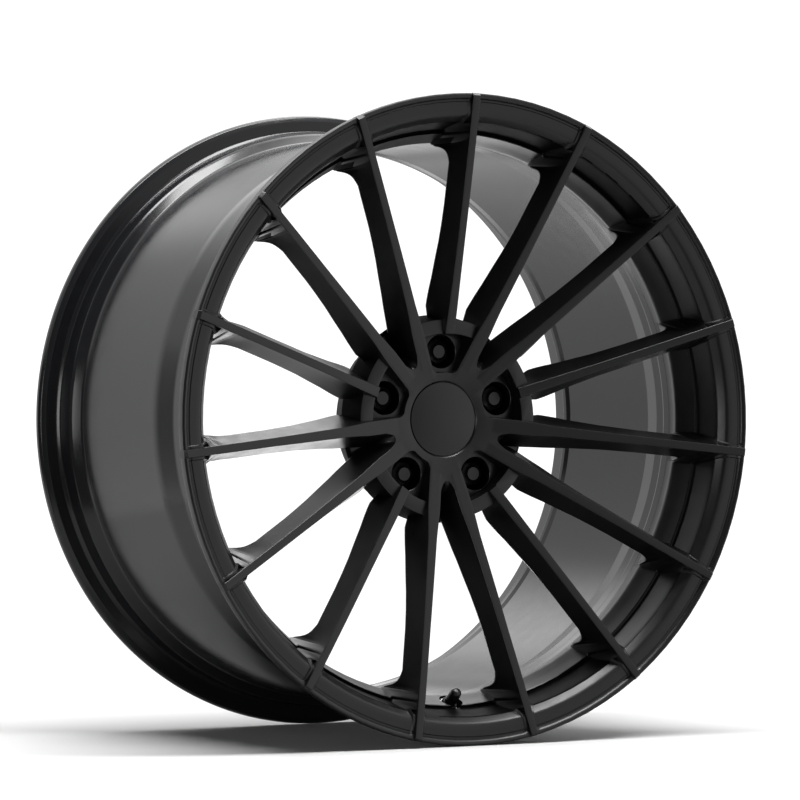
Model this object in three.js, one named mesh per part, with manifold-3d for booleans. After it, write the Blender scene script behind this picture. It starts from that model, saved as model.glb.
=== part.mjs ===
// Forged racing wheel rim, 20 x 10.5J, fifteen spokes, five lug holes on a 114.3 mm circle.
// Millimetres, +Z up. The wheel's axis is Y and its face looks along -Y.
// The origin is on the axis, half-way between the spoke tips and the rear flange.
// "Depth" is measured backwards (+Y) from the plane of the outboard flange's edge.
import * as THREE from 'three';
import { mergeVertices } from 'three/addons/utils/BufferGeometryUtils.js';
import Module from 'manifold-3d';

const wasm = await Module();
wasm.setup();

// ---- driving dimensions ----
const flangeRadius = 271.5;        // outer radius of both flanges
const rearDepth = 287.2;           // depth of the rear flange's back face
const seamDepth = 66;              // where the barrel is welded to the forged centre
const gap = 0.3;                   // clearance between pieces that touch
const sectors = 5;                 // lug holes, and repeats of the spoke pattern
const sectorAngle = 360 / sectors;
const armAngle = 12;               // half angle of a V pair, and half the spoke pitch
const tipRadius = 269.4;           // where the spokes' ends start to slope back
const tipSlope = 1.5;
const roundSegments = 60;          // facets round the rim

const hubRadius = 88;
const hubFaceDepth = 104;          // mounting face
const pocketDepth = 57.3;          // floor of the lug pockets
const boreRadius = 36.3;           // centre bore, rear
const capBoreRadius = 30.4;        // centre bore, front
const capSeatRadius = 31.8;
const capSeatDepth = 57.6;
const capFaceDepth = 53.4;
const boreStepDepth = 85;

const lugCircleRadius = 114.3 / 2;
const counterboreRadius = 14.1;
const coneSeatDepth = 84;          // where the counterbore ends and the 60 degree seat starts
const coneSeatEndDepth = 89;
const studHoleRadius = 7.4;

const valveAngle = -90;
const valveSeat = { r: 242, depth: 47 };       // centre of the spot face
const valveTilt = THREE.MathUtils.degToRad(40); // between the valve and the wheel's axis

// ---- the face, as functions of radius ----
const faceDepth = r => 61.84 - 0.2868 * r + 0.000159 * r * r;

function along(table, r) {
  if (r <= table[0][0]) return table[0][1];
  for (let i = 1; i < table.length; i++) {
    const [r0, v0] = table[i - 1];
    const [r1, v1] = table[i];
    if (r <= r1) return v0 + (v1 - v0) * (r - r0) / (r1 - r0);
  }
  return table[table.length - 1][1];
}
const armFaceHalf = r => along([[78, 6], [100, 4.4], [120, 4.2], [150, 3.9], [180, 3.5]], r);
const lugSpokeFaceHalf = r => along([[90, 4.3], [150, 3.5]], r);
// How much wider the back of a spoke is than its face, on each side, and how thick it is.
const flankDraft = r => along([[80, 10], [100, 9.5], [120, 8], [150, 6.5], [180, 6.1],
  [235, 6.1], [250, 1.2], [272, 0.8]], r);
const spokeThickness = r => along([[100, 26.5], [130, 25.5], [170, 22.5], [235, 22.5],
  [246, 13], [252, 6.3], [272, 9.3]], r);

// ---- geometry helpers ----
const frontPlane = -(rearDepth + faceDepth(flangeRadius)) / 2;   // y of depth zero
const yAt = depth => frontPlane + depth;

// A three.js geometry as a solid whose faces point out.
function solid(geometry) {
  const g = geometry.index ? geometry.toNonIndexed() : geometry.clone();
  for (const name of Object.keys(g.attributes)) {
    if (name !== 'position') g.deleteAttribute(name);
  }
  const merged = mergeVertices(g, 1e-4);
  const p = merged.attributes.position.array;
  const tris = [];
  for (let i = 0; i < merged.index.count; i += 3) {
    const [a, b, c] = [0, 1, 2].map(k => merged.index.array[i + k]);
    if (a !== b && b !== c && c !== a) tris.push([a, b, c]);
  }
  const corner = i => new THREE.Vector3(p[3 * i], p[3 * i + 1], p[3 * i + 2]);
  let volume = 0;
  for (const [a, b, c] of tris) volume += corner(a).dot(corner(b).cross(corner(c)));
  const triVerts = Uint32Array.from(tris.flatMap(t => (volume < 0 ? [t[0], t[2], t[1]] : t)));
  const vertProperties = Float32Array.from(p);
  return new wasm.Manifold(new wasm.Mesh({ numProp: 3, vertProperties, triVerts }));
}
const joined = solids => solids.reduce((whole, next) => whole.add(next));
const cut = (whole, solids) => solids.reduce((rest, tool) => rest.subtract(tool), whole);

// A ring or disc turned about the wheel's axis, from [radius, depth] points.
function turned(points, segments = roundSegments) {
  const outline = points.map(([r, depth]) => new THREE.Vector2(r, yAt(depth)));
  if (points[0][0] > 0) outline.push(outline[0].clone());
  return solid(new THREE.LatheGeometry(outline, segments));
}
const drum = (radius, depth0, depth1, segments = 32) =>
  turned([[0, depth0], [radius, depth0], [radius, depth1], [0, depth1]], segments);
const tube = (inner, outer, depth0, depth1, segments = 32) =>
  turned([[inner, depth0], [outer, depth0], [outer, depth1], [inner, depth1]], segments);

// Turns a solid about the wheel's axis, counter-clockwise seen from the front.
const spun = (s, degrees) => s.rotate([0, -degrees, 0]);

// A tapering bar along +X: each station gives the radius, the half widths of its front and
// back, and the depths of its front and back.
function bar(stations) {
  const g = new THREE.BoxGeometry(1, 1, 1, stations.length - 1, 1, 1);
  const p = g.attributes.position;
  for (let i = 0; i < p.count; i++) {
    const s = stations[Math.round((p.getX(i) + 0.5) * (stations.length - 1))];
    const isFront = p.getY(i) < 0;
    const half = isFront ? s.front : s.back;
    p.setXYZ(i, s.r, yAt(isFront ? s.frontDepth : s.backDepth), 2 * half * p.getZ(i));
  }
  return solid(g);
}
function spokeStations(radii, faceHalf) {
  return radii.map(r => ({
    r,
    front: faceHalf(r),
    back: faceHalf(r) + flankDraft(r),
    frontDepth: faceDepth(r) + tipSlope * Math.max(0, r - tipRadius),
    backDepth: faceDepth(r) + spokeThickness(r),
  }));
}

// ---- rim ----
function makeBarrel() {
  const d = depth => rearDepth - depth;        // from the rear face forwards
  return turned([
    [235.5, seamDepth + gap], [241, seamDepth + gap], [241, 78], [245.5, 104], [245.5, d(41)],
    [252, d(34)], [253.6, d(32)], [252.8, d(29)], [254.3, d(14)], [257, d(11.7)],
    [266, d(10.7)], [270, d(9)], [flangeRadius, d(6)], [flangeRadius, d(2)],
    [266.5, rearDepth], [261, d(0.7)], [255.3, d(3)], [248.5, d(10)], [247, d(30)],
    [238.8, d(39.7)], [238.8, d(44.7)], [240, d(49.7)], [240, 107], [236, 87], [235.5, 75],
  ]);
}

function makeLip() {
  return turned([
    [flangeRadius, 1], [flangeRadius, 7], [267, 11], [257, 12.8], [254.3, 15.5], [252.8, 34],
    [253.6, 37], [252, 41], [241, 56], [241, seamDepth], [235.5, seamDepth], [232.3, 51.7],
    [240, 30], [247.8, 10], [252.3, 4.2], [255.6, 2.1], [264.5, 1.6], [266.4, 1.4],
    [268, -0.8], [270, -1.5], [271.2, -0.8],
  ]);
}

function makeSpokeRoot() {
  return bar([
    { r: 214, front: 4, back: 9.6, frontDepth: 12, backDepth: 30 },
    { r: 226, front: 6, back: 10.5, frontDepth: 14, backDepth: 42 },
    { r: 234, front: 9, back: 13, frontDepth: 16, backDepth: 52 },
    { r: 243, front: 10, back: 14, frontDepth: 12, backDepth: 50 },
    { r: 250, front: 9.5, back: 12, frontDepth: 3, backDepth: 40 },
  ]);
}

// ---- forged centre ----
function makeArcWeb() {
  const half = THREE.MathUtils.degToRad(20);
  const outline = new THREE.Shape();
  outline.absarc(0, 0, 84, -half, half, false);
  outline.absarc(0, 0, 72, half, -half, true);
  const g = new THREE.ExtrudeGeometry(outline, { depth: 20, bevelEnabled: false, curveSegments: 9 });
  g.rotateX(Math.PI / 2);                       // extrudes towards -Y
  g.translate(0, yAt(65), 0);
  return solid(g);
}

function makeForgedCentre() {
  const hub = turned([
    [20, pocketDepth], [84, pocketDepth], [hubRadius, 70], [80.5, 92], [75, hubFaceDepth],
    [20, hubFaceDepth],
  ], 30);
  const rootRadii = [105, 130, 170, 235, 246, 252, tipRadius, flangeRadius - 0.3];
  const arm = bar(spokeStations([50, 80, ...rootRadii], armFaceHalf));
  const lugSpoke = bar(spokeStations([73, ...rootRadii], lugSpokeFaceHalf));
  const root = makeSpokeRoot();
  const pad = bar([24, 38, 58].map(r => (
    { r, front: 15 + (r - 24) * 0.12, back: 19, frontDepth: faceDepth(r), backDepth: 66 })));
  const web = makeArcWeb();

  const pieces = [makeLip(), hub];
  for (let i = 0; i < sectors; i++) {
    const lugAngle = 90 - i * sectorAngle;
    pieces.push(spun(lugSpoke, lugAngle), spun(web, lugAngle), spun(root, lugAngle));
    const padAngle = lugAngle - sectorAngle / 2;
    pieces.push(spun(pad, padAngle));
    for (const side of [-armAngle, armAngle]) {
      pieces.push(spun(arm, padAngle + side), spun(root, padAngle + side));
    }
  }

  const bores = [
    drum(capBoreRadius, 30, 120, 30),
    drum(capSeatRadius, 30, capSeatDepth, 30),
    drum(boreRadius, boreStepDepth, 120, 30),
  ];
  const lugHole = turned([
    [0, 40], [counterboreRadius, 40], [counterboreRadius, coneSeatDepth - 4],
    [11.3, coneSeatDepth], [studHoleRadius, coneSeatEndDepth], [studHoleRadius, 120], [0, 120],
  ], 16).translate([lugCircleRadius, 0, 0]);
  for (let i = 0; i < sectors; i++) bores.push(spun(lugHole, 90 - i * sectorAngle));
  return cut(joined(pieces), [...bores, ...valveHoleTools()]);
}

// ---- small turned pieces on an axis of their own ----
// Turned about Y from [radius, height] points, with -Y towards the front.
function turnedPiece(points, segments = 16) {
  const outline = points.map(([r, y]) => new THREE.Vector2(r, y));
  if (points[0][0] > 0) outline.push(outline[0].clone());
  return solid(new THREE.LatheGeometry(outline, segments));
}
const rod = (radius, y0, y1, segments = 16) =>
  turnedPiece([[0, y0], [radius, y0], [radius, y1], [0, y1]], segments);
const sleeve = (inner, outer, y0, y1, segments = 16) =>
  turnedPiece([[inner, y0], [outer, y0], [outer, y1], [inner, y1]], segments);
const hexRod = (acrossFlats, y0, y1) => rod(acrossFlats / Math.sqrt(3), y0, y1, 6);

// ---- lug nut: closed end to the front, hexagon, 60 degree cone, blind stud hole ----
function makeLugNut() {
  const hexAcrossFlats = 19;
  const frontDepth = 60.8;
  const hexEnd = 80;
  const head = turnedPiece([
    [0, yAt(frontDepth)], [6.5, yAt(frontDepth)], [11, yAt(frontDepth + 4.5)],
    [11, yAt(hexEnd)], [0, yAt(hexEnd)],
  ], 18).intersect(hexRod(hexAcrossFlats, yAt(frontDepth), yAt(hexEnd)));
  const cone = turnedPiece([
    [0, yAt(hexEnd - 0.5)], [10.9, yAt(hexEnd - 0.5)], [10.9, yAt(coneSeatDepth - 0.4)],
    [7.4, yAt(coneSeatEndDepth - 1.2)], [0, yAt(coneSeatEndDepth - 1.2)],
  ], 18);
  return head.add(cone).subtract(rod(5.4, yAt(67), yAt(95), 12));
}

// ---- centre cap ----
const capRadius = 31.25;
const capLegInner = 27.4;
const capLegOuter = 29.2;
const emblemRadius = 30;
const capLegs = 8;

function makeCap() {
  const shell = turned([
    [0, capFaceDepth + 0.9], [emblemRadius + gap, capFaceDepth + 0.9],
    [emblemRadius + gap, capFaceDepth], [capRadius - 0.6, capFaceDepth],
    [capRadius, capFaceDepth + 0.6], [capRadius, capSeatDepth - gap],
    [capLegOuter, capSeatDepth - gap], [capLegOuter, 72], [30, 74], [capLegOuter, 77],
    [capLegInner, 77], [capLegInner, 58], [0, 58],
  ], 32);
  const slot = new THREE.BoxGeometry(70, 17, 5);
  slot.translate(0, yAt(60 + 8.5), 0);
  const slots = [];
  for (let i = 0; i < capLegs / 2; i++) slots.push(spun(solid(slot), (i + 0.5) * 360 / capLegs));
  return cut(shell, slots);
}

function makeRetainingRing() {
  const wireRadius = 0.8;
  const g = new THREE.TorusGeometry(capLegInner - gap - wireRadius, wireRadius, 6, 32);
  g.rotateX(Math.PI / 2);
  g.translate(0, yAt(74), 0);
  return solid(g);
}

// ---- valve, built along its own axis: -Y points to the cap, y = 0 is the spot face ----
const wallAtValve = 6;
const grommetHole = 5.8;
const stemRadius = 3.0;
const stemThreadRadius = 3.85;
const stemEnd = -17;
const coreBore = 2.4;

function valveHoleTools() {
  const tools = [
    rod(grommetHole, -20, 20, 20),
    rod(9.6, -26, 0, 20),
    rod(10.4, wallAtValve, wallAtValve + 12, 20),
  ];
  return tools.map(placeValve);
}

// Moves a solid from the valve's own axis to its place in the rim.
function placeValve(s) {
  const tilted = s.rotate([0, 0, THREE.MathUtils.radToDeg(-valveTilt)]);
  return spun(tilted.translate([valveSeat.r, yAt(valveSeat.depth), 0]), valveAngle);
}

const valveSolids = {
  valve_stem: () => cut(joined([
    turnedPiece([[0, 9.8], [stemRadius, 9.8], [7.4, 9.8], [7.4, 12], [5, 13.5], [0, 13.5]], 16),
    rod(stemRadius, -1, 10, 16),
    rod(stemThreadRadius, stemEnd, -0.8, 16),
  ]), [rod(coreBore, stemEnd - 1, -3, 12), rod(1.3, -4, 20, 12)]),
  valve_grommet: () => joined([
    sleeve(3.3, 9.2, wallAtValve + gap, 9.5, 20),
    sleeve(3.3, 5.5, gap, wallAtValve + 0.5, 20),
  ]),
  valve_washer: () => sleeve(4.2, 8.2, -1.6, -gap, 20),
  valve_nut: () => cut(hexRod(12, -6.6, -1.9), [rod(4.15, -8, 0, 16)]),
  valve_core_body: () => sleeve(1.05, 2.1, -16.4, -8.6, 12),
  valve_core_seal: () => sleeve(1.05, 2.1, -8.3, -7.3, 12),
  valve_core_pin: () => joined([rod(0.45, -16.9, -7.2, 8), rod(0.85, -16.9, -16.4, 8)]),
  valve_pin_seal: () => rod(1.9, -6.9, -6.3, 12),
  valve_cap: () => cut(turnedPiece([
    [0, -22.5], [3.9, -22.5], [4.9, -21.5], [4.9, -8], [0, -8],
  ], 18), [rod(4.15, -19.3, -7, 16)]),
  valve_cap_seal: () => rod(3.8, -19, -17.6, 14),
};

// A closed wire spring round the core pin.
function makeCoreSpring() {
  const turns = 5;
  const radius = 0.76;
  class Helix extends THREE.Curve {
    getPoint(t, target = new THREE.Vector3()) {
      const a = 2 * Math.PI * turns * t;
      return target.set(radius * Math.cos(a), -14.5 + 5.5 * t, radius * Math.sin(a));
    }
  }
  const wire = new THREE.Shape();
  wire.absarc(0, 0, 0.14, 0, 2 * Math.PI, false);
  return solid(new THREE.ExtrudeGeometry(wire, {
    steps: turns * 8, curveSegments: 2, bevelEnabled: false, extrudePath: new Helix(),
  }));
}

// ---- materials ----
const finish = (color, roughness, metalness) =>
  new THREE.MeshStandardMaterial({ color, roughness, metalness });
const satinBlack = finish(0x343436, 0.42, 0.35);
const barrelGrey = finish(0x4a4b4f, 0.3, 0.55);
const capBlack = finish(0x333335, 0.5, 0.1);
const nutBlack = finish(0x1b1b1d, 0.4, 0.6);
const rubber = finish(0x151515, 0.85, 0);
const steel = finish(0x8d9096, 0.35, 0.9);
const brass = finish(0xb08d4a, 0.35, 0.9);
const plastic = finish(0x202022, 0.6, 0);

// ---- assembly ----
const wheel = new THREE.Group();

function add(name, shape, material) {
  const { numProp, vertProperties, triVerts } = shape.getMesh();
  const g = new THREE.BufferGeometry();
  const xyz = new Float32Array(vertProperties.length / numProp * 3);
  for (let i = 0; i < xyz.length / 3; i++) {
    for (let k = 0; k < 3; k++) xyz[3 * i + k] = vertProperties[numProp * i + k];
  }
  g.setAttribute('position', new THREE.BufferAttribute(xyz, 3));
  g.setIndex(new THREE.BufferAttribute(triVerts, 1));
  g.computeVertexNormals();
  const mesh = new THREE.Mesh(g, material);
  mesh.name = name;
  wheel.add(mesh);
}

add('barrel', makeBarrel(), barrelGrey);
add('forged_centre', makeForgedCentre(), satinBlack);
add('hub_ring', turned([
  [33.4, 90], [boreRadius - gap, 90], [boreRadius - gap, hubFaceDepth - 0.4],
  [33.4, hubFaceDepth - 0.4],
], 40), plastic);
add('centre_cap', makeCap(), capBlack);
add('cap_emblem', drum(emblemRadius, capFaceDepth - 0.1, capFaceDepth + 0.6, 32), capBlack);
add('cap_retaining_ring', makeRetainingRing(), steel);

const nut = makeLugNut().translate([lugCircleRadius, 0, 0]);
for (let i = 0; i < sectors; i++) {
  add(`lug_nut_${i + 1}`, spun(nut, 90 - i * sectorAngle), nutBlack);
}

const valveFinish = {
  valve_stem: plastic, valve_grommet: rubber, valve_washer: steel, valve_nut: nutBlack,
  valve_core_body: brass, valve_core_seal: rubber, valve_core_pin: brass, valve_pin_seal: rubber,
  valve_cap: plastic, valve_cap_seal: rubber,
};
for (const [name, make] of Object.entries(valveSolids)) {
  add(name, placeValve(make()), valveFinish[name]);
}
add('valve_core_spring', placeValve(makeCoreSpring()), steel);

export default wheel;
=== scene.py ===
"""Forged racing wheel rim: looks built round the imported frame. Metres, +Z up, face towards -Y.

Sizes in this file are millimetres and are turned into metres when a mesh is made. "Depth" is
measured backwards (+Y) from the plane of the outboard flange's edge.
"""
import math

import bmesh
import bpy
import numpy as np
from mathutils import Matrix, Vector


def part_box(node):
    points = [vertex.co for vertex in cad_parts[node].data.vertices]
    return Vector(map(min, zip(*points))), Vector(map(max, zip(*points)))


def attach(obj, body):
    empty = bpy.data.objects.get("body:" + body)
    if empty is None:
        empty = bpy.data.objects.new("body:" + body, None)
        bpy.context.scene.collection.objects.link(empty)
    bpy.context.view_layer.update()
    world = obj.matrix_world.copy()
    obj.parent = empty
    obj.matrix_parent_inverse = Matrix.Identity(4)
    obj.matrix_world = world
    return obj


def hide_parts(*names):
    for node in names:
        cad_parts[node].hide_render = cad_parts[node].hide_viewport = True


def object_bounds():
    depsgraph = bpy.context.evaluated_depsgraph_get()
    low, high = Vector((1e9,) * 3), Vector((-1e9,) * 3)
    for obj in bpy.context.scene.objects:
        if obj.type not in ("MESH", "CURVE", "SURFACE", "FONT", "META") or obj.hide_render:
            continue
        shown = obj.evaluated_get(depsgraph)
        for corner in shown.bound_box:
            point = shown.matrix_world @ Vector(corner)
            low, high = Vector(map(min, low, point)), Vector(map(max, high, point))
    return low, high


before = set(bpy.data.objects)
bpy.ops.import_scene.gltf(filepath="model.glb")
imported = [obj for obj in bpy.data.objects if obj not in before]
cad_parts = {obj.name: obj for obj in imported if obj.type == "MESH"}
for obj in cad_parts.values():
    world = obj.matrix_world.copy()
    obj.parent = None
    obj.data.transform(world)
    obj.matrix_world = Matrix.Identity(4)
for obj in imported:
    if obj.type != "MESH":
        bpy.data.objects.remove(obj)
cad_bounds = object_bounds()

MM = 0.001
REAR_DEPTH = 287.2
FRONT_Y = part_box("barrel")[1].y / MM - REAR_DEPTH     # y of depth zero, in millimetres
SECTORS = 5
SECTOR = 72.0
ARM_ANGLE = 12.0
LUG_RADIUS = 57.15
LUG_ANGLES = [90 - SECTOR * i for i in range(SECTORS)]
PAD_ANGLES = [a - SECTOR / 2 for a in LUG_ANGLES]
SPOKE_ANGLES = [90 - 24 * i for i in range(15)]


def face_depth(r):
    """Depth of the spokes' faces at radius r."""
    return 61.84 - 0.2868 * r + 0.000159 * r * r


def along(table, r):
    """Straight-line interpolation in a table of (position, value...) rows."""
    table = np.asarray(table, float)
    values = [float(np.interp(r, table[:, 0], table[:, k])) for k in range(1, table.shape[1])]
    return values[0] if len(values) == 1 else values


# ---------------------------------------------------------------- mesh helpers
def make_mesh(name, verts, faces, smooth=30.0):
    """A mesh object from points in millimetres (x, y, z)."""
    me = bpy.data.meshes.new(name)
    me.from_pydata([tuple(v) for v in np.asarray(verts, float) * MM], [], [tuple(f) for f in faces])
    bm = bmesh.new()
    bm.from_mesh(me)
    bmesh.ops.remove_doubles(bm, verts=bm.verts, dist=1e-7)
    bmesh.ops.recalc_face_normals(bm, faces=bm.faces)
    bm.to_mesh(me)
    bm.free()
    shade(me, smooth)
    obj = bpy.data.objects.new(name, me)
    bpy.context.scene.collection.objects.link(obj)
    return obj


def shade(me, angle):
    me.shade_smooth()
    me.set_sharp_from_angle(angle=math.radians(angle))


def grid_faces(rows, columns, closed_rows=False, closed_columns=False):
    faces = []
    for i in range(rows if closed_rows else rows - 1):
        for j in range(columns if closed_columns else columns - 1):
            a, b = i * columns + j, i * columns + (j + 1) % columns
            c, d = ((i + 1) % rows) * columns + (j + 1) % columns, ((i + 1) % rows) * columns + j
            faces.append((a, b, c, d))
    return faces


def polar(r, degrees, depth):
    a = math.radians(degrees)
    return (r * math.cos(a), FRONT_Y + depth, r * math.sin(a))


def rounded(points, steps=5):
    """A closed outline whose corners (x, y, radius) are rounded; a corner without a radius stays."""
    out = []
    n = len(points)
    for i, corner in enumerate(points):
        p = np.array(corner[:2], float)
        radius = corner[2] if len(corner) > 2 else 0
        if radius <= 0:
            out.append(tuple(p))
            continue
        a = np.array(points[i - 1][:2], float) - p
        b = np.array(points[(i + 1) % n][:2], float) - p
        la, lb = np.linalg.norm(a), np.linalg.norm(b)
        a, b = a / la, b / lb
        turn = math.acos(max(-1, min(1, float(a @ b))))
        reach = min(radius / math.tan(turn / 2), 0.48 * la, 0.48 * lb)
        start, end = p + a * reach, p + b * reach
        for k in range(steps + 1):
            t = k / steps
            out.append(tuple((1 - t) ** 2 * start + 2 * t * (1 - t) * p + t * t * end))
    return out


def lathe(name, outline, segments=240, smooth=30.0):
    """A ring about the wheel's axis from a closed [radius, depth] outline."""
    verts = [polar(r, 360 * i / segments, d) for i in range(segments) for r, d in outline]
    return make_mesh(name, verts, grid_faces(segments, len(outline), True, True), smooth)


def disc(name, outline, segments=64, smooth=30.0):
    """A solid of revolution about the wheel's axis; the outline starts and ends on the axis."""
    inner = outline[1:-1]
    n = len(inner)
    verts = [polar(r, 360 * i / segments, d) for i in range(segments) for r, d in inner]
    faces = grid_faces(segments, n, True, False)
    verts += [polar(0, 0, outline[0][1]), polar(0, 0, outline[-1][1])]
    for i in range(segments):
        j = (i + 1) % segments
        faces += [(i * n, j * n, len(verts) - 2), (i * n + n - 1, j * n + n - 1, len(verts) - 1)]
    return make_mesh(name, verts, faces, smooth)


def loft(name, sections, smooth=30.0):
    """Closed sections of equal length, one after another, capped at both ends."""
    n = len(sections[0])
    verts = [p for s in sections for p in s]
    faces = grid_faces(len(sections), n, False, True)
    faces.append(tuple(range(n)))
    faces.append(tuple(range(len(verts) - n, len(verts))))
    return make_mesh(name, verts, faces, smooth)


def prism(name, layers, smooth=30.0):
    """Outlines of equal length ([x, z] lists) at depths that may vary from point to point."""
    sections = [[(x, FRONT_Y + d, z) for (x, z), d in zip(xz, depth)] for xz, depth in layers]
    return loft(name, sections, smooth)


def spin(obj, degrees):
    """Turns the mesh about the wheel's axis, counter-clockwise seen from the front."""
    obj.data.transform(Matrix.Rotation(-math.radians(degrees), 4, "Y"))
    return obj


def copy_spun(obj, degrees):
    c = bpy.data.objects.new(obj.name, obj.data.copy())
    bpy.context.scene.collection.objects.link(c)
    return spin(c, degrees)


def combine(target, tools, operation="UNION", smooth=30.0):
    """Joins or cuts closed meshes and leaves one mesh."""
    for tool in tools:
        m = target.modifiers.new("combine", "BOOLEAN")
        m.operation, m.solver, m.object = operation, "MANIFOLD", tool
    bpy.context.view_layer.update()
    depsgraph = bpy.context.evaluated_depsgraph_get()
    me = bpy.data.meshes.new_from_object(target.evaluated_get(depsgraph))
    target.modifiers.clear()
    target.data = me
    for tool in tools:
        bpy.data.objects.remove(tool)
    shade(me, smooth)
    return target


# ---------------------------------------------------------------- camera
def aim_camera():
    cam = bpy.data.cameras.new("camera")
    cam.lens, cam.sensor_width = 178.0, 36.0
    cam.clip_start, cam.clip_end = 0.1, 100.0
    obj = bpy.data.objects.new("camera", cam)
    bpy.context.scene.collection.objects.link(obj)
    obj.location = Vector((-1665.6, -2981.35, -4.79)) * MM
    yaw, pitch = math.radians(29.300), math.radians(0.360)
    forward = Vector((math.sin(yaw) * math.cos(pitch), math.cos(yaw) * math.cos(pitch),
                      math.sin(pitch)))
    obj.rotation_euler = forward.to_track_quat("-Z", "Y").to_euler()
    bpy.context.scene.camera = obj


aim_camera()


# ---------------------------------------------------------------- lip and recesses between spokes
# [radius, depth, corner offset, facet width, raise] from the outer edge across the face to the
# window edge. "Corner offset" is how far from a spoke's centreline the recess begins; nearer to the
# spoke the surface stands "raise" millimetres proud.
LIP_FACE = [
    (271.5, 1.2, 6.3, 0.8, 0), (271.5, -0.2, 6.3, 0.8, 0), (271.0, -1.1, 6.3, 0.8, 0),
    (270.0, -1.5, 6.3, 0.8, 0), (268.7, -1.1, 6.3, 0.8, 0), (267.4, -0.2, 6.3, 0.8, 0.4),
    (266.8, 0.7, 6.3, 0.8, 0.6), (266.2, 1.9, 6.3, 0.8, 1.0), (264.8, 2.0, 6.3, 0.8, 1.1),
    (264.0, 1.5, 6.3, 0.8, 1.0), (259.0, 1.8, 6.3, 0.8, 1.2), (255.6, 2.1, 6.4, 0.8, 1.3),
    (254.2, 2.6, 6.6, 0.9, 1.4), (253.0, 3.5, 6.9, 1.1, 1.5), (252.3, 4.2, 7.1, 1.2, 1.6),
    (250.4, 6.4, 7.8, 1.3, 1.8), (248.7, 8.4, 8.6, 1.4, 2.0), (248.1, 9.2, 9.0, 1.4, 2.1),
    (247.7, 10.4, 9.3, 1.4, 2.2), (246.9, 14.2, 10.2, 1.4, 2.2), (245.8, 19.0, 11.2, 1.4, 2.2),
    (244.7, 23.8, 12.2, 1.4, 2.2), (243.9, 27.0, 12.8, 1.4, 2.2), (243.3, 29.4, 13.2, 1.4, 2.2),
    (242.9, 31.4, 13.4, 1.4, 2.2), (242.2, 32.8, 13.6, 1.4, 2.0), (241.5, 33.1, 13.7, 1.4, 1.6),
    (240.9, 32.3, 13.8, 1.4, 1.4), (240.3, 31.9, 13.9, 1.4, 1.4), (239.7, 32.4, 14.0, 1.4, 1.6),
    (239.3, 33.6, 14.0, 1.4, 1.8), (238.0, 38.0, 13.9, 1.4, 2.0), (235.8, 44.0, 13.8, 1.4, 2.0),
    (233.9, 49.0, 13.6, 1.4, 2.0), (233.2, 50.9, 13.4, 1.4, 1.8), (232.9, 52.3, 13.2, 1.4, 1.6),
    (233.1, 53.8, 13.0, 1.4, 1.2), (234.2, 56.6, 12.8, 1.4, 0.8),
]
STEP_ROWS = (24, 30)                     # the groove between the two bands, lifted as one
ROOT_ROWS = (17, 35)                     # rows whose raised part climbs to the spoke's face edge
SPOKE_HALF_AT_LIP = 3.35                 # half width of a spoke's face where it crosses the lip
FLAT_FACE_RADIUS = 253                   # outside this the lip's raised part rises straight forward
BACK_CORNER, BACK_FACET = 12.8, 1.4
LIP_BACK = [(235.5, 60), (235.5, 66), (241, 66), (241, 57), (242.4, 54.4), (250.8, 42.8),
            (252.6, 40.4), (253.5, 38.2), (253.4, 36), (252.9, 34.4), (253.1, 31), (254.1, 18),
            (254.6, 15.4), (256, 13.4), (258.5, 12.7), (265.5, 11.6), (268.8, 10.2), (271, 7.6),
            (271.5, 5.5)]


def make_lip():
    spacing = 360 / len(SPOKE_ANGLES)
    rows = []
    for i, (r, d, corner, facet, lift) in enumerate(LIP_FACE):
        before, after = LIP_FACE[max(i - 1, 0)], LIP_FACE[min(i + 1, len(LIP_FACE) - 1)]
        dr, dd = after[0] - before[0], after[1] - before[1]
        length = math.hypot(dr, dd)
        normal = (0, -1) if r > FLAT_FACE_RADIUS else (-dd / length, dr / length)
        if STEP_ROWS[0] <= i <= STEP_ROWS[1]:
            normal = (-0.95, -0.3)
        rr, rd = r + normal[0] * lift, d + normal[1] * lift
        edge = face_depth(rr) + 1.2 if ROOT_ROWS[0] <= i <= ROOT_ROWS[1] else rd
        rows.append((r, d, corner, facet, rr, rd, edge))
    rows += [(r, d, BACK_CORNER, BACK_FACET, r, d, d) for r, d in LIP_BACK]
    # Across each sector: 0 .. 8 from a spoke's centreline to mid-sector, then back to the next spoke.
    columns = [(spoke * spacing, side, c) for spoke in range(len(SPOKE_ANGLES))
               for side, order in ((1, range(9)), (-1, range(7, 0, -1))) for c in order]
    verts = []
    half = math.radians(spacing / 2)
    for base, side, c in columns:
        for r, d, corner, facet, rr, rd, edge in rows:
            top, foot = math.asin((corner - facet) / rr), math.asin(corner / r)
            inner = math.asin(SPOKE_HALF_AT_LIP / rr)
            if c <= 3:
                place = (0, inner, inner + (top - inner) * 0.5, top)[c]
                height = (edge + 1.5 if edge < rd - 1.5 else edge, edge, (edge + rd) / 2, rd)[c]
                point = (rr, height)
            else:
                place = foot + (half - foot) * (0, 0.04, 0.3, 0.65, 1.0)[c - 4]
                point = (r, d)
            angle = math.degrees(place) if side > 0 else spacing - math.degrees(place)
            verts.append(polar(point[0], 90 + base + angle, point[1]))
    return make_mesh("lip", verts, grid_faces(len(columns), len(rows), True, True), 24)


# ---------------------------------------------------------------- spokes
ARM_HALF = [(30, 6), (78, 6), (100, 4.5), (120, 4.25), (150, 3.9), (180, 3.55), (240, 3.45),
            (272, 3.3)]
LUG_SPOKE_HALF = [(70, 4.4), (90, 4.25), (120, 3.75), (150, 3.5), (240, 3.4), (272, 3.3)]
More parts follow.
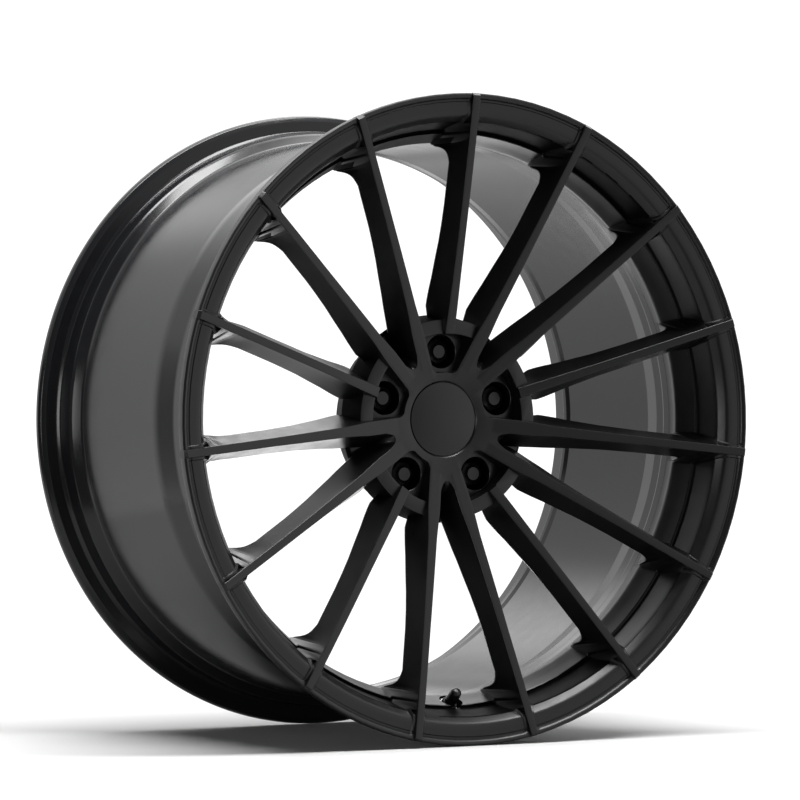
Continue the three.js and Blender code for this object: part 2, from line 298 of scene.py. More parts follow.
# How far the flank stands out at the back, and the depth of the back below the face.
DRAFT = [(30, 2.6), (72, 3.4), (84, 5.5), (96, 9.3), (105, 9.3), (120, 8), (150, 6.5), (180, 6.1),
         (222, 6.1)]
SLIT_DRAFT = [(30, 5), (52, 6), (62, 8.5), (75, 9.5), (100, 9.4), (105, 9.3)]
THICKNESS = [(30, 26), (90, 26.5), (130, 25.5), (170, 22.5), (214, 22.5)]
# Root of a spoke at the rim: radius, foot offset, foot depth, back depth.
ROOT = [(215, 9.55, 27.3, 29.8), (219, 9.6, 28.4, 31.2), (222, 9.65, 29.8, 32.8),
        (224.4, 9.8, 31.8, 35.0), (226.4, 10.1, 34.8, 38.5), (228.0, 10.5, 39.0, 43.5),
        (229.2, 11.0, 44.5, 49.0), (230.3, 11.6, 48.5, 52.2), (231.2, 11.9, 49.8, 52.6),
        (231.9, 11.4, 48.6, 52.3), (232.8, 9.4, 42.0, 50.0), (233.8, 4.3, 15.0, 20.0),
        (240, 4.2, 12.0, 16.0), (248, 4.1, 8.0, 11.0), (256, 4.1, 5.0, 8.0), (269.4, 4.0, 3.0, 6.5),
        (270.4, 3.9, 3.0, 6.5), (271.6, 3.6, 3.4, 6.3)]
TIP_START, TIP_SLOPE = 269.4, 1.5        # where the spoke's end is bevelled, and how steeply
SINK = [(26, 0.6), (40, 0.25), (48, 0)]  # how far an arm's face lies below the ring round the cap
EDGE = 0.85                              # rounding along the edges of a face


def spoke_section(r, half, feet, foot_depth, back):
    """One section across a spoke: rounded face edges, straight flanks, rounded back edges."""
    d = face_depth(r) + TIP_SLOPE * max(0, r - TIP_START) + along(SINK, r)
    sides = []
    for foot in feet:
        # Near the hub the face follows the true radius, so that it lies flush with the ring.
        rim = face_depth(math.hypot(r, half)) - face_depth(r) if r < 60 else 0
        side = [(0.5 * (half - EDGE), d + 0.25 * rim), (half - EDGE, d + rim),
                (half - 0.35 * EDGE, d + 0.13 * EDGE),
                (half - 0.1 * EDGE, d + 0.4 * EDGE), (half + 0.06, d + EDGE)]
        for t in (0.25, 0.5, 0.75):
            side.append((half + 0.06 + (foot - half - 0.06) * t,
                         d + EDGE + (foot_depth - d - EDGE) * t))
        side += [(foot, foot_depth), (foot - 0.25, foot_depth + (back - foot_depth) * 0.5),
                 (foot - 1.1, back - 0.25), (foot - 2.2, back)]
        sides.append(side)
    right = [(r, FRONT_Y + p[1], p[0]) for p in sides[0]]
    left = [(r, FRONT_Y + p[1], -p[0]) for p in reversed(sides[1])]
    return [(r, FRONT_Y + d, 0)] + right + left


def make_spoke(name, start, halves, slit_side=None):
    """A spoke along +X. slit_side, 0 or 1, is the side that faces the other arm of a V."""
    sections = []
    for r in (start, 40, 48, 55, 60, 66, 71, 76, 80, 84, 88, 92, 96, 102, 110, 120, 135, 150, 165,
              180, 195, 206):
        if r < start:
            continue
        half = along(halves, r)
        back = face_depth(r) + along(THICKNESS, r)
        feet = [half + along(SLIT_DRAFT if side == slit_side and r < 105 else DRAFT, r)
                for side in (0, 1)]
        sections.append(spoke_section(r, half, feet, back - 2.6, back))
    for r, foot, foot_depth, back in ROOT:
        sections.append(spoke_section(r, along(halves, r), (foot, foot), foot_depth, back))
    return loft(name, sections, 24)


# ---------------------------------------------------------------- hub
POCKET_DEPTH = 57.3
HUB_FACE_DEPTH = 104


def fan(name, inner, outer, half_angle, front, back, chamfer, flare=0.0, steps=14):
    """A ring sector about +X with a chamfered front; flare widens its outer radius at the back."""
    def outline(shrink, outward=0.0):
        out = []
        for k in range(steps + 1):
            a = math.radians(-half_angle + 2 * half_angle * k / steps)
            out.append((outer - shrink + outward, a))
        for k in range(steps + 1):
            a = math.radians(half_angle - 2 * half_angle * k / steps)
            out.append((inner + shrink, a))
        return [(r * math.cos(a), r * math.sin(a)) for r, a in out]
    n = 2 * (steps + 1)
    layers = [(outline(chamfer), [front] * n), (outline(chamfer * 0.3), [front + chamfer * 0.3] * n),
              (outline(0), [front + chamfer] * n), (outline(0, flare), [back] * n)]
    return prism(name, layers)


def make_hub():
    """The drum behind the pockets, the ring round the cap, pads, webs, spokes, lip, then the bores."""
    drum = lathe("fine_centre", rounded([
        (20, POCKET_DEPTH), (52, POCKET_DEPTH), (56, 66), (85, 68, 2), (88.5, 70.5, 2), (80.5, 92, 4),
        (76, 103, 1), (74.8, 104, 0.6), (20, HUB_FACE_DEPTH)]), 180)
    parts = []
    # Ring round the cap, with a rounded corner where each pocket meets a pad.
    steps = 360

    def collar(shrink, extra):
        xz, depth = [], []
        for k in range(steps):
            a = 360 * k / steps
            from_lug = min(abs((a - l + 180) % 360 - 180) for l in LUG_ANGLES)
            r = 39.6 + 6.2 * max(0.0, (min(from_lug, 17.5) - 9.5) / 8) ** 2.2 - shrink
            xz.append((r * math.cos(math.radians(a)), r * math.sin(math.radians(a))))
            depth.append(face_depth(r) + extra)
        return xz, depth

    centre_radius, ring_sink = 24, 0.03
    turns = [math.radians(360 * k / steps) for k in range(steps)]
    middle = ([(centre_radius * math.cos(a), centre_radius * math.sin(a)) for a in turns],
              [face_depth(centre_radius) + ring_sink] * steps)
    foot = (collar(-0.8, 0)[0], [62.0] * steps)
    parts.append(prism("collar", [
        middle, collar(EDGE, ring_sink), collar(0.3 * EDGE, ring_sink + 0.15 * EDGE),
        collar(0, ring_sink + EDGE), foot]))

    # Pad between the arms of a V. Its inner end lies under the ring.
    pad_half, inner_arc = 6.6, 38
    pad_sink = 0.08

    def tongue(shrink, extra, back=None):
        xz = []
        for t in np.linspace(-pad_half, pad_half, 23):
            s = 52.4 + 0.11 * abs(t) ** 2.3 - shrink
            xz.append((s, t))
        xz += [(math.sqrt(inner_arc ** 2 - t * t), t) for t in np.linspace(pad_half, -pad_half, 9)]
        face = [face_depth(math.hypot(s, t)) for s, t in xz]
        depth = [d + extra if back is None else max(back, d + 1.5) for d in face]
        return xz, depth

    arms = [make_spoke("arm", 26, ARM_HALF, side) for side in (1, 0)]
    lug_spoke = make_spoke("lug_spoke", 72, LUG_SPOKE_HALF)
    pad = prism("tongue", [
        tongue(EDGE, pad_sink), tongue(0.3 * EDGE, pad_sink + 0.15 * EDGE), tongue(0, pad_sink + EDGE),
        tongue(-3.4, 0, 50.5), tongue(-7.4, 0, 55.5), tongue(-10.5, 0, 62), tongue(-12, 0, 72)])
    web = fan("web", 72.2, 84.2, 20.5, 45.2, 69.5, 0.6, 4.2)
    floor = fan("floor", 44, 72.0, 23.8, POCKET_DEPTH, 95, 0.4)
    inner_wall = fan("wall", 71.0, 80, 20.5, 58, 94, 0.4)
    for a in LUG_ANGLES:
        parts += [copy_spun(lug_spoke, a), copy_spun(web, a), copy_spun(floor, a),
                  copy_spun(inner_wall, a)]
    for a in PAD_ANGLES:
        parts += [copy_spun(pad, a), copy_spun(arms[0], a + ARM_ANGLE),
                  copy_spun(arms[1], a - ARM_ANGLE)]
    for o in (*arms, lug_spoke, pad, web, floor, inner_wall):
        bpy.data.objects.remove(o)
    parts.append(make_lip())
    combine(drum, parts, "UNION", 24)

    mouth = face_depth(32)
    tools = [disc("bore", [
        (0, 30), (32.7, 30), (32.7, mouth), (31.8, mouth + 0.9), (31.8, 57.6), (30.4, 57.6), (30.4, 85),
        (36.3, 85), (36.3, 103), (37.4, 104.2), (37.4, 120), (0, 120)], 160)]
    hole = disc("lug_hole", [(0, 30), (14.5, 30), (14.5, POCKET_DEPTH), (14.1, POCKET_DEPTH + 0.4),
                             (14.1, 80), (11.3, 84), (7.4, 89), (7.4, 103.2), (8.3, 104.2), (8.3, 120),
                             (0, 120)], 72)
    hole.data.transform(Matrix.Translation((LUG_RADIUS * MM, 0, 0)))
    for a in LUG_ANGLES:
        tools.append(copy_spun(hole, a))
    bpy.data.objects.remove(hole)
    tools += valve_tools()
    return combine(drum, tools, "DIFFERENCE", 24)


# ---------------------------------------------------------------- valve
VALVE_SEAT = (242, 47)
VALVE_TILT = 40.0
VALVE_ANGLE = -90.0


def place_valve(obj):
    """From the valve's own axis (-Y towards the cap, zero at the spot face) to the rim."""
    m = (Matrix.Rotation(-math.radians(VALVE_ANGLE), 4, "Y")
         @ Matrix.Translation((VALVE_SEAT[0] * MM, (FRONT_Y + VALVE_SEAT[1]) * MM, 0))
         @ Matrix.Rotation(-math.radians(VALVE_TILT), 4, "Z"))
    obj.data.transform(m)
    return obj


def turned(name, outline, segments=48, smooth=30.0):
    """A small solid of revolution about Y from [radius, y] points."""
    closed = outline[0][0] > 0
    pts = outline if closed else outline[1:-1]
    n = len(pts)
    verts = [(r * math.cos(2 * math.pi * i / segments), y, r * math.sin(2 * math.pi * i / segments))
             for i in range(segments) for r, y in pts]
    faces = grid_faces(segments, n, True, closed)
    if not closed:
        verts += [(0, outline[0][1], 0), (0, outline[-1][1], 0)]
        for i in range(segments):
            j = (i + 1) % segments
            faces += [(i * n, j * n, len(verts) - 2), (i * n + n - 1, j * n + n - 1, len(verts) - 1)]
    return make_mesh(name, verts, faces, smooth)


def valve_tools():
    tools = [turned("t", [(0, -26), (9.6, -26), (9.6, -0.6), (9.0, 0), (0, 0)]),
             turned("t", [(0, -20), (5.8, -20), (5.8, 20), (0, 20)]),
             turned("t", [(0, 6), (10.4, 6), (10.4, 18), (0, 18)])]
    return [place_valve(t) for t in tools]


centre = make_hub()
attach(centre, "wheel")
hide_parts("forged_centre")


# ---------------------------------------------------------------- barrel
def make_barrel():
    def d(forward):
        """Depth of a point this far in front of the rear flange's back face."""
        return REAR_DEPTH - forward
    outline = rounded([
        (235.5, 66.3), (241, 66.3), (241, 78, 25), (245.5, 104, 70), (245.5, d(41), 5),
        (252, d(34), 2), (253.6, d(32), 1.2), (252.8, d(29), 1.5), (254.3, d(14), 2),
        (257, d(11.7), 2), (266, d(10.7), 3), (270, d(9), 2), (271.5, d(6), 2),
        (271.5, d(2), 1.2), (266.5, d(0), 3), (261, d(0.7), 3),
        (255.3, d(3), 3), (248.5, d(10), 5), (247, d(30), 3), (238.8, d(39.7), 2),
        (238.8, d(44.7), 1.5), (240, d(49.7), 1), (240, 107, 4), (236, 87, 3), (236, 76.6, 0.8),
        (235.5, 74.8, 0.8)])
    return lathe("fine_barrel", outline, 360, 35)


barrel = make_barrel()
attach(barrel, "wheel")
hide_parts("barrel")


# ---------------------------------------------------------------- cap, ring and nuts
def make_cap():
    return disc("fine_cap", [
        (0, 53.9), (23.6, 53.9), (24.2, 53.75), (24.4, 53.4), (30.4, 53.4), (31.0, 53.6),
        (31.25, 54.0), (31.25, 57.3), (29.2, 57.3), (29.2, 72), (30, 74), (29.2, 77),
        (27.4, 77), (27.4, 58), (0, 58)], 200)


cap = make_cap()
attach(cap, "cap")
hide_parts("centre_cap")

emblem = disc("fine_emblem", [(0, 53.35), (29.5, 53.35), (29.85, 53.5), (30.0, 53.85), (0, 53.85)], 200)
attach(emblem, "cap")
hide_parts("cap_emblem")

NUT_FRONT = 60.8


def make_nut(index):
    """Closed lug nut: hexagon with a chamfered front, round rear flange and cone, blind bore."""
    half_flats = 9.5
    corner = half_flats / math.cos(math.pi / 6)
    hexagon = turned("hexagon", [(0, 60.2), (corner, 60.2), (corner, 80), (0, 80)], 6, 20)
    hexagon.data.transform(Matrix.Translation((0, FRONT_Y * MM, 0)))
    envelope = turned("fine_nut_%d" % index, [
        (0, NUT_FRONT), (5.5, NUT_FRONT), (5.8, NUT_FRONT + 0.3), (6.6, NUT_FRONT + 1.6),
        (7.8, NUT_FRONT + 2.6), (9.2, NUT_FRONT + 3.2), (10.4, NUT_FRONT + 4.0), (10.95, NUT_FRONT + 5.4),
        (10.97, 79.9), (0, 79.9)], 60)
    envelope.data.transform(Matrix.Translation((0, FRONT_Y * MM, 0)))
    nut = combine(envelope, [hexagon], "INTERSECT", 24)
    cone = turned("cone", [(0, 78), (10.2, 78), (10.9, 78.6), (10.9, 83.6), (7.4, 87.8), (0, 87.8)], 60)
    cone.data.transform(Matrix.Translation((0, FRONT_Y * MM, 0)))
    bore = turned("bore", [(0, 67), (5.4, 68.5), (5.4, 95), (0, 95)], 40)
    bore.data.transform(Matrix.Translation((0, FRONT_Y * MM, 0)))
    combine(nut, [cone], "UNION", 24)
    combine(nut, [bore], "DIFFERENCE", 24)
    nut.data.transform(Matrix.Translation((LUG_RADIUS * MM, 0, 0)))
    return spin(nut, LUG_ANGLES[index - 1])


nuts = []
for i in range(1, SECTORS + 1):
    nut = make_nut(i)
    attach(nut, "nut_%d" % i)
    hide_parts("lug_nut_%d" % i)
    nuts.append(nut)


# ---------------------------------------------------------------- small hardware
def torus(name, ring, wire, depth, segments=120, sides=14):
    verts = []
    for i in range(segments):
        for j in range(sides):
            b = 2 * math.pi * j / sides
            verts.append(polar(ring + wire * math.cos(b), 360 * i / segments, depth + wire * math.sin(b)))
    return make_mesh(name, verts, grid_faces(segments, sides, True, True), 60)


ring_wire = torus("fine_retaining_ring", 26.3, 0.8, 74)
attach(ring_wire, "cap")
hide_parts("cap_retaining_ring")

hub_ring = lathe("fine_hub_ring", rounded([
    (33.4, 90, 0.5), (36.0, 90, 0.5), (36.0, 96.2), (35.6, 96.6), (35.6, 97.2), (36.0, 97.6),
    (36.0, 103.6, 0.4), (34.6, 103.6, 0.6), (33.4, 102.4)]), 160)
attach(hub_ring, "wheel")
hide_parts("hub_ring")


def valve_piece(obj, node, body):
    place_valve(obj)
    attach(obj, body)
    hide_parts(node)
    return obj


def threaded(radius, depth, y0, y1, pitch):
    """Outline points of a stack of thread ridges between two heights."""
    n = int((y1 - y0) / pitch)
    out = []
    for k in range(n):
        y = y0 + (y1 - y0) * k / n
        out += [(radius - depth, y), (radius, y + 0.5 * (y1 - y0) / n)]
    return out + [(radius - depth, y1)]


stem = turned("fine_valve_stem", [(0, -3), (2.4, -3), (2.4, -17), (3.3, -17), (3.55, -16.7)]
              + threaded(3.85, 0.3, -16.5, -1.2, 0.8)
              + [(3.0, -0.8), (3.0, 9.8), (7.0, 9.8), (7.4, 10.2), (7.4, 11.6), (7.0, 12),
                 (5, 13.5), (0, 13.5)])
stem = valve_piece(stem, "valve_stem", "wheel")
grommet = valve_piece(turned("fine_grommet", [
    (3.3, 0.3), (5.5, 0.3), (5.5, 6.3), (8.8, 6.3), (9.2, 6.8), (9.2, 8.9), (8.6, 9.5), (3.3, 9.5)]),
    "valve_grommet", "wheel")
washer = valve_piece(turned("fine_washer", [
    (4.2, -1.4), (4.4, -1.6), (7.9, -1.6), (8.2, -1.3), (8.2, -0.3), (4.2, -0.3)]),
    "valve_washer", "wheel")


def make_valve_nut():
    across = 6 / math.cos(math.pi / 6)
    hexagon = turned("fine_valve_nut", [(0, -6.6), (across, -6.6), (across, -1.9), (0, -1.9)], 6, 20)
    dome = turned("dome", [(0, -6.6), (5.6, -6.6), (6.95, -5.8), (6.95, -2.6), (6.2, -1.9), (0, -1.9)])
    hole = turned("hole", [(0, -9), (4.15, -9), (4.15, 0), (0, 0)])
    combine(hexagon, [dome], "INTERSECT", 24)
    return combine(hexagon, [hole], "DIFFERENCE", 24)


valve_nut = valve_piece(make_valve_nut(), "valve_nut", "wheel")


def make_dust_cap():
    """Round-ended cap with fine grip ribs below a plain dome, and a collar."""
    segments = 72
    rows = [(1.6, -22.45, 0), (2.9, -22.1, 0), (3.9, -21.3, 0), (4.5, -20.2, 0), (4.75, -19, 0),
            (4.75, -17.5, 0), (4.7, -17, 1), (4.7, -10.4, 1), (4.75, -10, 0), (4.9, -9.7, 0),
            (4.9, -8.2, 0), (4.7, -8, 0), (4.15, -8, 0), (4.15, -19.3, 0)]
    verts = []
    for i in range(segments):
        a = 2 * math.pi * i / segments
        for r, y, ribbed in rows:
            rr = r + (0.18 if ribbed and i % 4 < 2 else 0) - (0.12 if ribbed and i % 4 >= 2 else 0)
            verts.append((rr * math.cos(a), y, rr * math.sin(a)))
    n = len(rows)
    faces = grid_faces(segments, n, True, False)
    verts += [(0, -22.5, 0), (0, -19.3, 0)]
    for i in range(segments):
        j = (i + 1) % segments
        faces += [(i * n, j * n, len(verts) - 2), (i * n + n - 1, j * n + n - 1, len(verts) - 1)]
    return make_mesh("fine_dust_cap", verts, faces, 35)


dust_cap = valve_piece(make_dust_cap(), "valve_cap", "dust_cap")


# ---------------------------------------------------------------- materials
def material(name, color, rough, *, metal=0.0, spread=0.08, rough_spread=0.08, grain=900.0, bump=0.05,
             height=0.00002, coat=0.0, coat_rough=0.1, speck=0.0, specular=0.5, blotch=14.0):
    """A painted, plated or moulded surface: cloudy colour, uneven roughness, fine relief."""
    mat = bpy.data.materials.new(name)
    mat.use_nodes = True
    nt = mat.node_tree
    nodes, links = nt.nodes, nt.links
    shader = nodes["Principled BSDF"]
    shader.inputs["Metallic"].default_value = metal
    shader.inputs["Coat Weight"].default_value = coat
    shader.inputs["Coat Roughness"].default_value = coat_rough
    shader.inputs["Specular IOR Level"].default_value = specular
    coords = nodes.new("ShaderNodeTexCoord")

    def noise(scale, detail):
        n = nodes.new("ShaderNodeTexNoise")
        n.inputs["Scale"].default_value = scale
        n.inputs["Detail"].default_value = detail
        links.new(coords.outputs["Object"], n.inputs["Vector"])
        return n.outputs["Fac"]

    def spread_map(source, low, high):
        m = nodes.new("ShaderNodeMapRange")
        m.inputs["From Min"].default_value, m.inputs["From Max"].default_value = 0.3, 0.7
        m.inputs["To Min"].default_value, m.inputs["To Max"].default_value = low, high
        links.new(source, m.inputs["Value"])
        return m.outputs["Result"]

    cloudy = noise(blotch, 4)
    ramp = nodes.new("ShaderNodeMix")
    ramp.data_type = "RGBA"
    ramp.inputs["A"].default_value = [c * (1 - spread) for c in color] + [1]
    ramp.inputs["B"].default_value = [c * (1 + spread) for c in color] + [1]
    links.new(spread_map(cloudy, 0, 1), ramp.inputs["Factor"])
    links.new(ramp.outputs["Result"], shader.inputs["Base Color"])
    links.new(spread_map(noise(blotch * 5, 3), rough - rough_spread / 2, rough + rough_spread / 2),
              shader.inputs["Roughness"])
    relief = nodes.new("ShaderNodeBump")
    relief.inputs["Strength"].default_value = bump
    relief.inputs["Distance"].default_value = height
    links.new(noise(grain, 3), relief.inputs["Height"])
    links.new(relief.outputs["Normal"], shader.inputs["Normal"])
    return mat


satin = material("satin_black_powder_coat", (0.003, 0.003, 0.0031), 0.32, grain=1400, bump=0.25,
                 height=0.00006, spread=0.12, rough_spread=0.06)
# Copies of the satin paint with less reflection, two of them also a little darker: painted shade for the
# recesses inside the lip and the hub drum's outer side.
painted_shade_satin = material("satin_with_painted_shade", (0.0025, 0.0025, 0.0026), 0.40, grain=1400, bump=0.25,
                        height=0.00006, spread=0.12, rough_spread=0.06, specular=0.35)
painted_shade_flat = material("flat_with_painted_shade", (0.003, 0.003, 0.003), 0.5, grain=1400, bump=0.25,
                       height=0.00006, spread=0.12, rough_spread=0.06, specular=0.03)
painted_shade_drum = material("drum_with_painted_shade", (0.0022, 0.0022, 0.0022), 0.6, grain=1400, bump=0.25,
                     height=0.00006, spread=0.12, rough_spread=0.06, specular=0.12)
gloss = material("gloss_dark_paint", (0.010, 0.0105, 0.012), 0.17, grain=500, bump=0.12,
                 height=0.00004, rough_spread=0.05)
cap_black = material("cap_paint", (0.006, 0.006, 0.0062), 0.36, grain=1800, bump=0.2, height=0.00004)
emblem_black = material("emblem_paint", (0.006, 0.006, 0.0062), 0.36, grain=2200, bump=0.15, height=0.00003)
nut_black = material("black_oxide", (0.005, 0.005, 0.0052), 0.34, grain=1600, bump=0.25, height=0.00004)
anodised = material("black_anodised", (0.01, 0.01, 0.011), 0.35, grain=2600, bump=0.15, height=0.00002)
plastic = material("moulded_plastic", (0.012, 0.012, 0.012), 0.55, grain=1500, bump=0.35, height=0.00005)
cap_plastic = material("valve_cap_plastic", (0.01, 0.01, 0.011), 0.32, grain=1900, bump=0.2, height=0.00003)
rubber = material("seal_rubber", (0.01, 0.01, 0.01), 0.75, grain=1200, bump=0.4, height=0.00008)
steel = material("spring_steel", (0.42, 0.43, 0.45), 0.3, metal=1.0, grain=2500, bump=0.2, height=0.00003)
zinc = material("zinc_steel", (0.5, 0.51, 0.53), 0.34, metal=1.0, grain=2100, bump=0.25, height=0.00004)
brass = material("brass", (0.6, 0.42, 0.16), 0.3, metal=1.0, grain=2300, bump=0.2, height=0.00003)


def finish_with(obj, mat):
    obj.data.materials.clear()
    obj.data.materials.append(mat)


for obj, mat in [(centre, satin), (barrel, gloss), (cap, cap_black), (emblem, emblem_black),
                 (ring_wire, steel), (hub_ring, plastic), (stem, anodised), (grommet, rubber),
                 (washer, zinc), (valve_nut, anodised), (dust_cap, cap_plastic)]:
    finish_with(obj, mat)
for nut in nuts:
    finish_with(nut, nut_black)


# Where the painted shade goes, by sector, radius and depth.
FIRST_WINDOW = 78                        # angle of the middle of one gap between spokes
WINDOW_SPACING = 24
RECESS_RADII = (229.5, 248.6)
RECESS_DEPTHS = (8.8, 57)
OUTER_WALL_DEPTH = 53                    # the recess's outer wall ends here
WALL_SLOPE, WALL_RADIUS = 0.235, 249.3   # the wall's radius shrinks with depth
DRUM_RADII = (74, 92)


def paint_recess_and_drum_shade(obj):
    """Duller blacks that copy how dark the photo is in the recesses inside the lip and on the drum.

    They imitate shade: which one a recess gets depends on its place round the wheel. The real wheel
    most likely has one paint all round.
    """
    first = len(obj.data.materials)
    for mat in (painted_shade_satin, painted_shade_flat, painted_shade_drum):
        obj.data.materials.append(mat)
    for face in obj.data.polygons:
        x, y, z = (v / MM for v in face.center)
        r, depth = math.hypot(x, z), y - FRONT_Y
        angle = math.degrees(math.atan2(z, x))
        middle = FIRST_WINDOW + WINDOW_SPACING * round((angle - FIRST_WINDOW) / WINDOW_SPACING)
        height, side = math.sin(math.radians(middle)), math.cos(math.radians(middle))
        outward = (face.normal.x * x + face.normal.z * z) / r
        in_recess = (RECESS_RADII[0] < r < RECESS_RADII[1]
                     and RECESS_DEPTHS[0] < depth < RECESS_DEPTHS[1] and outward < 0)
        outer_wall = in_recess and depth < OUTER_WALL_DEPTH and r + WALL_SLOPE * depth > WALL_RADIUS
        inner_band = in_recess and not outer_wall
        # Painted shade by place round the wheel: the least reflective paint on the outer walls at the top
        # and bottom and on the inner band at the upper left, the duller satin on the other outer walls away
        # from the right and on the inner band at the bottom, and the drum paint on the drum's outer side.
        if outer_wall and abs(height) > 0.75 and side > -0.5:
            face.material_index = first + 1
        elif outer_wall and side < 0.6:
            face.material_index = first
        elif inner_band and depth > 30 and height > 0.45 and side < 0:
            face.material_index = first + 1
        elif inner_band and depth > 33 and height < -0.85:
            face.material_index = first
        elif DRUM_RADII[0] < r < DRUM_RADII[1] and outward > 0.5:
            face.material_index = first + 2


paint_recess_and_drum_shade(centre)
for node, mat in [("valve_core_body", brass), ("valve_core_seal", rubber), ("valve_core_pin", brass),
                  ("valve_pin_seal", rubber), ("valve_cap_seal", rubber), ("valve_core_spring", steel)]:
    for material_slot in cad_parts[node].material_slots:
        material_slot.material = mat


# ---------------------------------------------------------------- floor, light and background
FLOOR_HALF = 0.62
FLOOR_SEEN = (0.98, 0.98, 0.98, 1)       # what the camera sees
FLOOR_REFLECTED = (0.47, 0.47, 0.47, 1)  # what reflections and bounced light see
# Painted light on the floor, which is no lamp: the glow that reflections see.
GLOW_X = (-0.2, 0.15)                    # the glow grows from left to right between these
GLOW_Y = (0.18, 0.36)                    # and from front to rear between these
GLOW_STRENGTH = 3.4


def smooth_step(tree, source, low, high, to_low, to_high):
    """A smooth change from to_low to to_high while the source goes from low to high."""
    node = tree.nodes.new("ShaderNodeMapRange")
    node.interpolation_type = "SMOOTHSTEP"
    for key, value in (("From Min", low), ("From Max", high), ("To Min", to_low)):
        node.inputs[key].default_value = value
    if isinstance(to_high, float):
        node.inputs["To Max"].default_value = to_high
    else:
        tree.links.new(to_high, node.inputs["To Max"])
    tree.links.new(source, node.inputs["Value"])
    return node.outputs["Result"]


def make_floor_material():
    """Pale to the camera. Reflections see a darker floor with painted light, a glow, at the rear on the
    right.
    """
    mat = bpy.data.materials.new("floor")
    mat.use_nodes = True
    tree = mat.node_tree
    nodes, links = tree.nodes, tree.links
    shader = nodes["Principled BSDF"]
    shader.inputs["Base Color"].default_value = FLOOR_SEEN
    shader.inputs["Roughness"].default_value = 1.0
    shader.inputs["Specular IOR Level"].default_value = 0.0
    dull = nodes.new("ShaderNodeBsdfDiffuse")
    dull.inputs["Color"].default_value = FLOOR_REFLECTED
    glow = nodes.new("ShaderNodeEmission")
    coords = nodes.new("ShaderNodeTexCoord")
    split = nodes.new("ShaderNodeSeparateXYZ")
    links.new(coords.outputs["Object"], split.inputs["Vector"])
    rightward = smooth_step(tree, split.outputs["X"], *GLOW_X, 0.0, GLOW_STRENGTH)
    rearward = smooth_step(tree, split.outputs["Y"], *GLOW_Y, 0.0, rightward)
    links.new(rearward, glow.inputs["Strength"])
    both = nodes.new("ShaderNodeAddShader")
    links.new(dull.outputs["BSDF"], both.inputs[0])
    links.new(glow.outputs["Emission"], both.inputs[1])
    path = nodes.new("ShaderNodeLightPath")
    mix = nodes.new("ShaderNodeMixShader")
    links.new(path.outputs["Is Camera Ray"], mix.inputs["Fac"])
    links.new(both.outputs["Shader"], mix.inputs[1])
    links.new(shader.outputs["BSDF"], mix.inputs[2])
    links.new(mix.outputs["Shader"], nodes["Material Output"].inputs["Surface"])
    return mat


def make_floor():
    level = cad_bounds[0].z - 0.0003
    corners = [(x * FLOOR_HALF, y * FLOOR_HALF, level) for x, y in ((-1, -1), (1, -1), (1, 1), (-1, 1))]
    me = bpy.data.meshes.new("floor")
    me.from_pydata(corners, [], [(0, 1, 2, 3)])
    obj = bpy.data.objects.new("floor", me)
    bpy.context.scene.collection.objects.link(obj)
    me.materials.append(make_floor_material())


def area_light(name, location, target, size, power, turn=0.0):
    data = bpy.data.lights.new(name, "AREA")
    data.shape, data.size, data.size_y, data.energy = "RECTANGLE", size[0], size[1], power
    obj = bpy.data.objects.new(name, data)
    bpy.context.scene.collection.objects.link(obj)
    obj.location = location
    obj.rotation_euler = (Vector(target) - Vector(location)).to_track_quat("-Z", "Y").to_euler()
    obj.rotation_euler.rotate_axis("Z", math.radians(turn))
    return obj


# Strengths of the world by direction, and of the even light that dull surfaces get.
FRONT_LEFT, FRONT_RIGHT = 0.1, 0.92
FAR_LEFT, REAR_LEFT, REAR_RIGHT, REAR_DARK = 0.1, 0.84, 1.05, 0.03
REAR_MIDDLE, REAR_HIGH = 2.7, 4.5
AMBIENT = 0.03


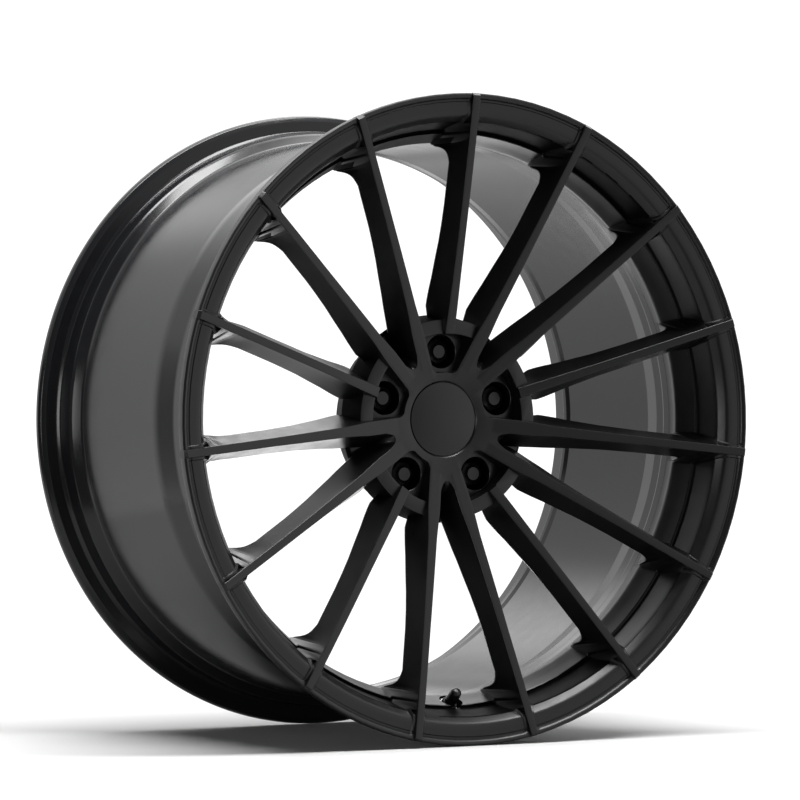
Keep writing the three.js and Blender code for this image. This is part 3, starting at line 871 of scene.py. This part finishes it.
def make_world():
    world = bpy.data.worlds.new("studio")
    bpy.context.scene.world = world
    world.use_nodes = True
    nt = world.node_tree
    nodes, links = nt.nodes, nt.links
    nodes.clear()
    out = nodes.new("ShaderNodeOutputWorld")
    background, studio, mix = (nodes.new("ShaderNodeBackground"), nodes.new("ShaderNodeBackground"),
                               nodes.new("ShaderNodeMixShader"))
    path = nodes.new("ShaderNodeLightPath")
    background.inputs["Color"].default_value = (1, 1, 1, 1)
    background.inputs["Strength"].default_value = 1.2
    coords = nodes.new("ShaderNodeTexCoord")
    split = nodes.new("ShaderNodeSeparateXYZ")
    links.new(coords.outputs["Generated"], split.inputs["Vector"])

    def step(source, low, high, to_low, to_high):
        return smooth_step(nt, source, low, high, to_low, to_high)

    def mix_values(factor, first, second):
        m = nodes.new("ShaderNodeMix")
        links.new(factor, m.inputs["Factor"])
        for socket, value in ((m.inputs["A"], first), (m.inputs["B"], second)):
            if isinstance(value, float):
                socket.default_value = value
            else:
                links.new(value, socket)
        return m.outputs["Result"]

    # Only reflections see this; it is fitted to those in the photo. In front, dark on the left and
    # bright on the right. Behind, dark at the far left, then bright; on the right dark above and
    # below the middle, and brightest high up.
    front = step(split.outputs["X"], -0.55, 0.95, FRONT_LEFT, FRONT_RIGHT)
    rear = step(split.outputs["X"], -0.1, 0.7, REAR_LEFT, REAR_RIGHT)
    sideways = step(split.outputs["X"], -0.82, -0.52, 1.0, 0.0)
    rear = mix_values(sideways, rear, FAR_LEFT)
    level = nodes.new("ShaderNodeMath")
    level.operation = "ABSOLUTE"
    links.new(split.outputs["Z"], level.inputs[0])
    rear = mix_values(step(level.outputs["Value"], 0.25, 0.33, 0.0, 1.0), rear,
                      step(split.outputs["X"], 0.34, 0.44, REAR_LEFT, REAR_DARK))
    high = step(split.outputs["Z"], 0.44, 0.52, 0.0, 1.0)
    above = mix_values(step(split.outputs["X"], 0.15, 0.42, 0.0, 1.0),
                       step(split.outputs["X"], -0.5, 0.05, REAR_LEFT, REAR_MIDDLE), REAR_HIGH)
    rear = mix_values(high, rear, above)
    behind = step(split.outputs["Y"], -0.2, 0.3, 0.0, 1.0)
    total = mix_values(path.outputs["Is Diffuse Ray"], mix_values(behind, front, rear), AMBIENT)
    links.new(total, studio.inputs["Strength"])
    studio.inputs["Color"].default_value = (1, 1, 1, 1)
    links.new(path.outputs["Is Camera Ray"], mix.inputs["Fac"])
    links.new(studio.outputs["Background"], mix.inputs[1])
    links.new(background.outputs["Background"], mix.inputs[2])
    links.new(mix.outputs["Shader"], out.inputs["Surface"])


make_world()
make_floor()
area_light("overhead", (0, -0.5, 3.2), (0, 0, 0), (3.8, 0.9), 165, -32)
area_light("left_strip", (-2.8, -1.25, 0.15), (0.2, -0.1, 0), (0.9, 0.9), 11)
bpy.context.scene.view_settings.view_transform = "Standard"
